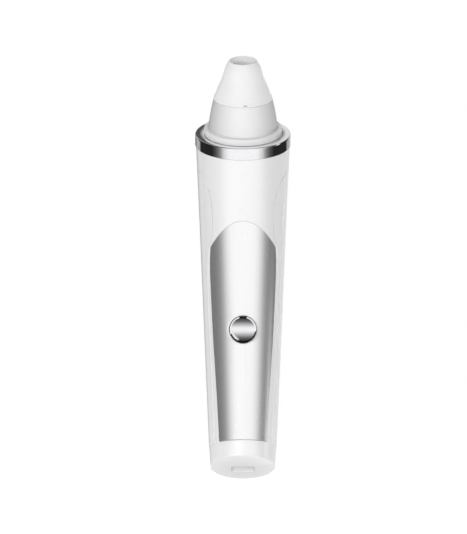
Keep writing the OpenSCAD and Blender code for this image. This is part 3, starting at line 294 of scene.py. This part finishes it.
def mark_seam_edges(piece):
    """Bevel weight on the edges where the skin turns into a seam, at the sides and not across."""
    corner = math.radians(40)
    on_skin, at_side, level = 0.985, 0.78, 0.75
    weight = piece.data.attributes.new("bevel_weight_edge", "FLOAT", "EDGE")
    faces_at = {}
    for face in piece.data.polygons:
        for edge_key in face.edge_keys:
            faces_at.setdefault(edge_key, []).append(face)
    for edge in piece.data.edges:
        faces = faces_at[edge.key]
        sharp = len(faces) == 2 and faces[0].normal.angle(faces[1].normal) > corner
        skinned = any(face.normal.dot(skin_normal(face.center)) > on_skin for face in faces)
        sideways = abs(skin_normal(piece.data.vertices[edge.vertices[0]].co).x) > at_side
        across = any(abs(face.normal.z) > level for face in faces)
        if sharp and skinned and sideways and not across:
            weight.data[edge.index].value = 1


def dressed(node_name, new_name, seam_width=0.0, edge_width=0.0):
    """A merged, smooth copy of a CAD node, which stands for it."""
    node = nodes[node_name]
    copy = bpy.data.objects.new(new_name, node.data.copy())
    bpy.context.scene.collection.objects.link(copy)
    copy.data.materials.clear()
    choose(copy)
    bpy.ops.object.mode_set(mode="EDIT")
    bpy.ops.mesh.select_all(action="SELECT")
    bpy.ops.mesh.remove_doubles(threshold=0.002 * mm)
    bpy.ops.mesh.normals_make_consistent(inside=False)
    bpy.ops.object.mode_set(mode="OBJECT")
    if seam_width:
        mark_seam_edges(copy)
        round_edges(copy, seam_width, 3, limit_method="WEIGHT", use_clamp_overlap=False)
    if edge_width:
        round_edges(copy, edge_width, 2, limit_method="ANGLE", angle_limit=math.radians(40))
    bpy.ops.object.shade_smooth_by_angle(angle=smooth_under)
    weighted = copy.modifiers.new("weighted", "WEIGHTED_NORMAL")
    weighted.keep_sharp = True
    bpy.ops.object.modifier_apply(modifier=weighted.name)
    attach(copy, node["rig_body"])
    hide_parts(node_name)
    return copy


def skin_smoothed(piece, within=10):
    """Normals of the true skin on the faces that lie along it, within so many degrees."""
    mesh = piece.data
    as_it_is = Vector((0, 0, 0))
    normals = [as_it_is] * len(mesh.loops)
    for face in mesh.polygons:
        if face.normal.dot(skin_normal(face.center)) > math.cos(math.radians(within)):
            for corner in face.loop_indices:
                normals[corner] = skin_normal(mesh.vertices[mesh.loops[corner].vertex_index].co)
    mesh.normals_split_custom_set(normals)


# Fine patches that shift a surface's colour, gloss and height a little.
mottled = bpy.data.node_groups.new("mottled_surface", "ShaderNodeTree")
for in_or_out, socket_name, socket_kind in (
        ("INPUT", "Colour", "Color"), ("INPUT", "Second Colour", "Color"), ("INPUT", "Grain", "Float"),
        ("INPUT", "Stretch", "Vector"), ("INPUT", "Least Roughness", "Float"),
        ("INPUT", "Most Roughness", "Float"), ("OUTPUT", "Colour", "Color"),
        ("OUTPUT", "Roughness", "Float"), ("OUTPUT", "Height", "Float")):
    mottled.interface.new_socket(
        name=socket_name, in_out=in_or_out, socket_type="NodeSocket" + socket_kind)
given = shader_node(mottled, "NodeGroupInput").outputs
on_piece = shader_node(mottled, "ShaderNodeTexCoord").outputs["Object"]
stretched = shader_node(mottled, "ShaderNodeMapping", {"Vector": on_piece, "Scale": given["Stretch"]})
cloud = shader_node(mottled, "ShaderNodeTexNoise", {
    "Vector": stretched.outputs[0], "Scale": given["Grain"], "Detail": 3})
patches = graded(mottled, cloud.outputs["Fac"], 0.3, 0.7)
patch_colour = mixed(mottled, patches, given["Colour"], given["Second Colour"])
patch_roughness = shader_node(mottled, "ShaderNodeMix", {
    0: patches, 2: given["Least Roughness"], 3: given["Most Roughness"]})
shader_node(mottled, "NodeGroupOutput", {
    "Colour": patch_colour, "Roughness": patch_roughness.outputs[0], "Height": patches})


def finish_of(name, colour, second_colour, grain, rough, bump=0.0, stretch=(1, 1, 1), **settings):
    """A material whose colour, gloss and relief come from the mottled surface."""
    material = bpy.data.materials.new(name)
    material.use_nodes = True
    tree = material.node_tree
    shader = tree.nodes["Principled BSDF"]
    for key, value in settings.items():
        shader.inputs[key.replace("_", " ")].default_value = value
    least_rough, most_rough = rough
    surface = shader_node(tree, "ShaderNodeGroup", {
        "Colour": (*colour, 1), "Second Colour": (*second_colour, 1), "Grain": grain,
        "Stretch": stretch, "Least Roughness": least_rough, "Most Roughness": most_rough},
        node_tree=mottled)
    tree.links.new(surface.outputs["Colour"], shader.inputs["Base Color"])
    tree.links.new(surface.outputs["Roughness"], shader.inputs["Roughness"])
    if bump:
        dent = shader_node(tree, "ShaderNodeBump", {
            "Strength": 0.2, "Distance": bump * mm, "Height": surface.outputs["Height"]})
        tree.links.new(dent.outputs["Normal"], shader.inputs["Normal"])
    return material


shell_white = finish_of(
    "shell_white", (0.9, 0.9, 0.9), (0.88, 0.88, 0.885), grain=300, rough=(0.2, 0.27), bump=0.004,
    Metallic=0.1, IOR=1.5, Coat_Weight=0.3, Coat_Roughness=0.05)
for node_name, slot_name in (("front_shell", "white_shell"), ("rear_shell", "grey_white_shell")):
    shell = dressed(node_name, "body_" + node_name, seam_width=0.4)
    skin_smoothed(shell)
    shell.data.materials.append(shell_white)


# Metal panel
# A long strip of aluminium, arched at the top, pressed to the body's curve and brushed along its
# length before it is glued into the front shell.
panel_metal = finish_of(
    "panel_metal", (0.93, 0.93, 0.935), (0.925, 0.925, 0.93), grain=500, rough=(0.265, 0.275),
    stretch=(1, 1, 0.01), Metallic=0.84)
panel = dressed("metal_panel", "brushed_panel")
skin_smoothed(panel, within=40)
panel.data.materials.append(panel_metal)


# Plated collar ring
# Closes the top of the body, square to its bent axis. It is moulded, plated bright and pressed
# over the seat of the head.
head_tilt = button_to_collar / bend_radius
head_foot = bend_centre + Vector((0, math.cos(head_tilt), math.sin(head_tilt))) * bend_radius * mm
ring_top = 5.2


def spun(name, outline, turns=160):
    """A turned piece from a closed outline of (radius, height) in millimetres."""
    bpy.ops.object.select_all(action="DESELECT")
    radius, height = outline[0]
    bpy.ops.mesh.primitive_circle_add(vertices=turns, radius=radius * mm, location=(0, 0, 0))
    piece = bpy.context.object
    piece.name = name
    bpy.ops.object.mode_set(mode="EDIT")
    bpy.ops.mesh.select_all(action="SELECT")
    bpy.ops.transform.translate(value=(0, 0, height * mm))
    for next_radius, next_height in outline[1:] + outline[:1]:
        bpy.ops.mesh.extrude_region_move(
            TRANSFORM_OT_translate={"value": (0, 0, (next_height - height) * mm)})
        grow = next_radius / radius
        bpy.ops.transform.resize(value=(grow, grow, 1), center_override=(0, 0, 0))
        radius, height = next_radius, next_height
    bpy.ops.mesh.select_all(action="SELECT")
    bpy.ops.mesh.remove_doubles(threshold=0.001 * mm)
    bpy.ops.mesh.normals_make_consistent(inside=False)
    bpy.ops.object.mode_set(mode="OBJECT")
    return piece


def edged(piece, width, segments=3):
    """Rounds a new piece's sharp edges and smooths it."""
    choose(piece)
    round_edges(piece, width, segments, limit_method="ANGLE", angle_limit=math.radians(30))
    bpy.ops.object.shade_smooth_by_angle(angle=math.radians(35))


def placed(piece, turn_x, foot):
    """Turns a piece about the X axis and moves it from the origin to its foot, in its mesh."""
    piece.rotation_euler = (turn_x, 0, 0)
    piece.location = foot
    choose(piece)
    bpy.ops.object.transform_apply(location=True, rotation=True, scale=True)


plate = finish_of(
    "bright_plating", (0.92, 0.92, 0.93), (0.88, 0.88, 0.9), grain=200, rough=(0.04, 0.07),
    Metallic=1.0)
ring = spun("plated_ring", [
    (19.2, 0), (20.4, 0), (20.5, 0.1), (20.5, 0.25), (20.5, 4.5), (20.5, 4.68), (20.35, 5.04),
    (19.98, ring_top), (14.9, 4.8), (14.9, 3.9), (19.2, 3.9)])
edged(ring, 0.05)
placed(ring, head_tilt, head_foot)
ring.data.materials.append(plate)
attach(ring, "body")
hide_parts("collar_ring")


# Push button
# A shallow plated dome that stands through the panel, with a wide catch behind the shell that
# holds it and a post that works the switch.
panel_face = cap_radius + taper * cap_to_button
edge_height = panel_face + 0.1
catch_height = 12.6369
post_foot = 12.185
dome_radius, dome_height = 5.62, 0.75
dome_steps = 12
on_axis = 0.01
hollow_back = [(on_axis, edge_height - 1.2), (4.85, edge_height - 1.2), (4.85, catch_height - 0.8)]
catch = [(7.2, catch_height - 0.8), (7.2, catch_height), (6.05, catch_height)]
rim = [
    (6.05, edge_height - 0.8), (6.0, edge_height - 0.5), (5.92, edge_height - 0.28),
    (5.8, edge_height - 0.12)]
button_dome = [
    (dome_radius * out, edge_height + dome_height * (1 - out ** 2))
    for out in [1 - i / dome_steps for i in range(dome_steps)]]
crown = [(on_axis, edge_height + dome_height)]
button = spun("plated_button", hollow_back + catch + rim + button_dome + crown, turns=96)
bpy.ops.object.shade_smooth_by_angle(angle=math.radians(40))
post = spun("button_post", [
    (on_axis, post_foot), (1.4, post_foot), (1.6, post_foot + 0.2), (1.6, edge_height - 0.6),
    (on_axis, edge_height - 0.6)], turns=48)
bpy.ops.object.shade_smooth_by_angle(angle=smooth_under)
for piece in (button, post):
    placed(piece, math.radians(90), axis_at_button)
    piece.data.materials.append(plate)
    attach(piece, "button")
    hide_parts("button_cap")


# Card before the button
# A lit card between the camera and the wand, which only the button mirrors: white in the middle
# and black towards its top and bottom, with a pale crescent low on the left. Beyond what the dome
# mirrors, white arcs beside the top light the button's rim.
card_width, card_length = 260, 800
card_depth = -108
fades_over = 65
button_reach = 6.2
dome_mirrors = 58
arcs_at, arcs_half_width = 98, 40
crescent_begins, crescent_full = 43, 50
card_band = bpy.data.materials.new("card_band")
card_band.use_nodes = True
card_tree = card_band.node_tree
card_tree.nodes.clear()
hit = shader_node(card_tree, "ShaderNodeNewGeometry").outputs
button_face = axis_at_button - Vector((0, edge_height, 0)) * mm
to_button = vector_maths(card_tree, "SUBTRACT", button_face, hit["Position"])
beside_ray = vector_maths(card_tree, "CROSS_PRODUCT", to_button, hit["Incoming"])
ray_misses_by = vector_maths(card_tree, "LENGTH", beside_ray)
from_button = maths(card_tree, "LESS_THAN", ray_misses_by, button_reach * mm)

on_card = shader_node(card_tree, "ShaderNodeTexCoord").outputs["Object"]
card_height = shader_node(card_tree, "ShaderNodeSeparateXYZ", {0: on_card}).outputs["Z"]
off_level = maths(card_tree, "ABSOLUTE", card_height)
bands = ramp(card_tree, maths(card_tree, "DIVIDE", off_level, fades_over * mm), [
    (0.0, 1.0), (0.12, 0.93), (0.234, 0.75), (0.3, 0.6), (0.44, 0.36), (0.583, 0.15), (0.73, 0.07),
    (0.85, 0.02)])
off_middle = vector_maths(card_tree, "LENGTH", on_card)
heading = vector_maths(card_tree, "NORMALIZE", on_card)
heading_parts = shader_node(card_tree, "ShaderNodeSeparateXYZ", {0: heading}).outputs

on_left = maths(card_tree, "LESS_THAN", heading_parts["X"], 0)
reach_down = maths(card_tree, "MULTIPLY_ADD", on_left, 0.2, heading_parts["Z"])
not_below = maths(card_tree, "GREATER_THAN", reach_down, -0.15)
off_upright = maths(card_tree, "ABSOLUTE", heading_parts["X"])
beside_top = maths(card_tree, "GREATER_THAN", off_upright, 0.3)
arc_directions = maths(card_tree, "MULTIPLY", not_below, beside_top)
arc_distances = maths(card_tree, "COMPARE", off_middle, arcs_at * mm, arcs_half_width * mm)
arcs = maths(card_tree, "MULTIPLY", arc_directions, arc_distances)

low_left = vector_maths(card_tree, "DOT_PRODUCT", heading, (-0.87, 0, -0.5))
crescent_directions = graded(card_tree, low_left, 0.75, 0.92)
crescent_distances = graded(card_tree, off_middle, crescent_begins * mm, crescent_full * mm)
crescent = maths(card_tree, "MULTIPLY", crescent_directions, crescent_distances)
bands = mixed(card_tree, crescent, bands, grey(0.88))
beyond_dome = maths(card_tree, "GREATER_THAN", off_middle, dome_mirrors * mm)
card_picture = mixed(card_tree, beyond_dome, bands, arcs)
card_light = shader_node(card_tree, "ShaderNodeEmission", {"Color": card_picture})
clear = shader_node(card_tree, "ShaderNodeBsdfTransparent")
card_surface = shader_node(card_tree, "ShaderNodeMixShader", {
    "Fac": from_button, 1: clear.outputs[0], 2: card_light.outputs[0]})
shader_node(card_tree, "ShaderNodeOutputMaterial", {"Surface": card_surface.outputs[0]})

bpy.ops.object.select_all(action="DESELECT")
bpy.ops.mesh.primitive_plane_add(size=1, rotation=(math.radians(90), 0, 0))
card = bpy.context.object
card.name = "button_card"
bpy.ops.transform.resize(value=(card_width * mm, 1, card_length * mm))
bpy.ops.object.transform_apply(location=False, rotation=True, scale=True)
card.location = (0, card_depth * mm, axis_at_button.z)
card.data.materials.append(card_band)
card.visible_camera = False
card.visible_diffuse = False
card.visible_shadow = False
card.visible_transmission = False


# End cap
# Closes the bottom of the body and holds the charging socket. It is moulded and lacquered as the
# shells are, and its spigot is held between them.
cap = dressed("end_cap", "bottom_cap", edge_width=0.08)
cap.data.materials.append(shell_white)


# Frosted nozzle
# A dome of frosted clear plastic, moulded with a flange at its foot and a neck for the tip. It is
# pushed over the seat of the head and pulls off.
frosted, frosted_flange = [
    finish_of(
        name, (0.94, 0.94, 0.94), (0.92, 0.92, 0.925), grain=500, rough=(0.34, 0.42), bump=0.006,
        Transmission_Weight=0.06, IOR=1.45)
    for name in ("frosted", "frosted_flange")]
frosted_tree = frosted.node_tree
frosted_colour = frosted_tree.nodes["Principled BSDF"].inputs["Base Color"]
# Painted shade: the frosted colour is painted darker where the dome turns edge-on, which darkens its
# sides.
edge_on = shader_node(frosted_tree, "ShaderNodeLayerWeight").outputs["Facing"]
painted_edge_shade = mixed(frosted_tree, edge_on, frosted_colour.links[0].from_socket, grey(0.45))
frosted_tree.links.new(painted_edge_shade, frosted_colour)

flange_height, dome_top = 2.7, 15.85
foot_radius, foot_narrowing = 14.75, 2.16
flange_begins = 15.2
flange = [
    (12.92, 0.1), (14.6, 0.1), (14.9, -0.2), (16.5, -0.2), (16.7, 0), (16.7, 2.4), (16.62, 2.62),
    (16.4, flange_height), (15.5, flange_height), (15.1, 2.8), (14.85, 3.05), (14.74, 3.5)]
dome_side = [
    (foot_radius - foot_narrowing * up ** 1.5, flange_height + (dome_top - flange_height) * up)
    for up in [i / 12 for i in range(2, 13)]]
neck = [(9.4, dome_top), (9.4, 20.6), (9.1, 20.9), (7.9, 20.9)]
dome_inside = [(7.9, 14.8), (12.02, 9.3), (12.92, 8.2)]
dome = spun("frosted_dome", [
    (radius, ring_top + height) for radius, height in flange + dome_side + neck + dome_inside])
edged(dome, 0.05)
dome.data.materials.append(frosted)
dome.data.materials.append(frosted_flange)
for face in dome.data.polygons:
    if math.hypot(face.center.x, face.center.y) > flange_begins * mm:
        face.material_index = 1
placed(dome, head_tilt, head_foot)
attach(dome, "nozzle")
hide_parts("nozzle_dome")


# Suction tip
# A pointed cone in milky plastic with a round, rolled mouth, pushed over the neck of the dome. A
# small nick in front, above its foot, shows which way round it goes on. The nick is drawn as a
# flush dark grey bar: its grey is the painted shade inside the slot.
milky = finish_of(
    "milky", (0.9, 0.9, 0.9), (0.885, 0.885, 0.885), grain=500, rough=(0.28, 0.36), bump=0.004,
    IOR=1.45, Subsurface_Weight=0.3, Subsurface_Radius=(0.004, 0.004, 0.004))
tip_side = [
    (12.66, 15.98), (12.6, 16.4), (12.33, 16.85), (11.98, 17.45), (11.55, 18.6), (11.1, 19.95),
    (10.4, 21.63), (9.75, 23.12), (9.15, 24.48), (8.7, 25.89), (8.25, 27.47), (7.88, 28.95),
    (7.42, 30.3), (6.95, 31.25), (6.5, 32.05)]
mouth = [
    (6.22, 32.58), (6.02, 32.86), (5.84, 33.0), (5.66, 32.93), (5.45, 32.7), (4.5, 31.75),
    (4.28, 31.45)]
bore = [(4.2, 31.1), (4.2, 26.4), (5.2, 25.4), (7.8, 23.9), (8.7, 22), (8.7, 21.2)]
socket = [(9.52, 21.2), (9.52, 16.1)]
tip = spun("pointed_tip", [
    (radius, ring_top + height) for radius, height in tip_side + mouth + bore + socket])
edged(tip, 0.08)
placed(tip, head_tilt, head_foot)
tip.data.materials.append(milky)
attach(tip, "tip")
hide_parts("suction_tip")

# Painted shade: the nick's dark grey stands in for the shade inside the slot, on a flush bar.
nick_painted_shade = finish_of(
    "nick_painted_shade", (0.3, 0.3, 0.3), (0.36, 0.36, 0.36), grain=800, rough=(0.4, 0.5), bump=0.002)
bpy.ops.object.select_all(action="DESELECT")
bpy.ops.mesh.primitive_cube_add(size=1, location=(0, 0, 0))
nick = bpy.context.object
nick.name = "tip_nick"
nick_size = Vector((1.7, 0.3, 0.36))
nick_place = Vector((0.85, -12.4, ring_top + 16.53))
nick.scale = nick_size * mm
nick.location = nick_place * mm
bpy.ops.object.transform_apply(location=True, rotation=True, scale=True)
edged(nick, 0.06, segments=2)
placed(nick, head_tilt, head_foot)
nick.data.materials.append(nick_painted_shade)
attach(nick, "tip")


# Parts inside
# Moulded, stamped and bought-in parts, seen only through the charging recess and the frosted
# plastic, or when the head is pulled off. They keep their CAD shapes and get their own finishes.
metal = {"Metallic": 1.0}
see_through = {"Transmission_Weight": 0.5}
inside = {}
for name, colour, second_colour, grain, rough, bump, settings in (
        ("seat_plastic", (0.86, 0.86, 0.85), (0.83, 0.83, 0.83), 300, (0.35, 0.45), 0.004, {}),
        ("black_rubber", (0.03, 0.03, 0.03), (0.045, 0.045, 0.045), 600, (0.6, 0.75), 0.01, {}),
        ("sponge", (0.75, 0.75, 0.74), (0.45, 0.45, 0.44), 1800, (0.85, 0.95), 0.3, {}),
        ("frame_plastic", (0.19, 0.19, 0.2), (0.23, 0.23, 0.24), 300, (0.4, 0.55), 0.004, {}),
        ("circuit_board", (0.015, 0.14, 0.05), (0.03, 0.2, 0.08), 700, (0.3, 0.4), 0.01, {}),
        ("black_parts", (0.02, 0.02, 0.022), (0.035, 0.035, 0.035), 500, (0.35, 0.5), 0.004, {}),
        ("usb_steel", (0.75, 0.75, 0.75), (0.68, 0.68, 0.68), 400, (0.2, 0.3), 0, metal),
        ("cell_wrap", (0.03, 0.12, 0.5), (0.035, 0.14, 0.55), 200, (0.25, 0.35), 0.003, {}),
        ("red_wire", (0.55, 0.02, 0.015), (0.62, 0.03, 0.02), 400, (0.35, 0.45), 0, {}),
        ("screw_steel", (0.62, 0.62, 0.63), (0.55, 0.55, 0.57), 500, (0.25, 0.38), 0, metal),
        ("can_steel", (0.56, 0.58, 0.6), (0.5, 0.52, 0.54), 300, (0.3, 0.4), 0, metal),
        ("ferrite", (0.08, 0.07, 0.07), (0.12, 0.11, 0.11), 800, (0.55, 0.7), 0.01, {}),
        ("contact_brass", (0.76, 0.56, 0.25), (0.7, 0.5, 0.22), 500, (0.25, 0.38), 0, metal),
        ("clear_silicone", (0.8, 0.85, 0.85), (0.76, 0.81, 0.81), 200, (0.3, 0.4), 0, see_through)):
    inside[name] = finish_of(name, colour, second_colour, grain, rough, bump, **settings)
slot_of = {entry["node"]: entry["material_slot"] for entry in frame["record"]["subparts"]}
for node_name, node in nodes.items():
    if not node.hide_render and slot_of[node_name] in inside:
        node.data.materials.clear()
        node.data.materials.append(inside[slot_of[node_name]])
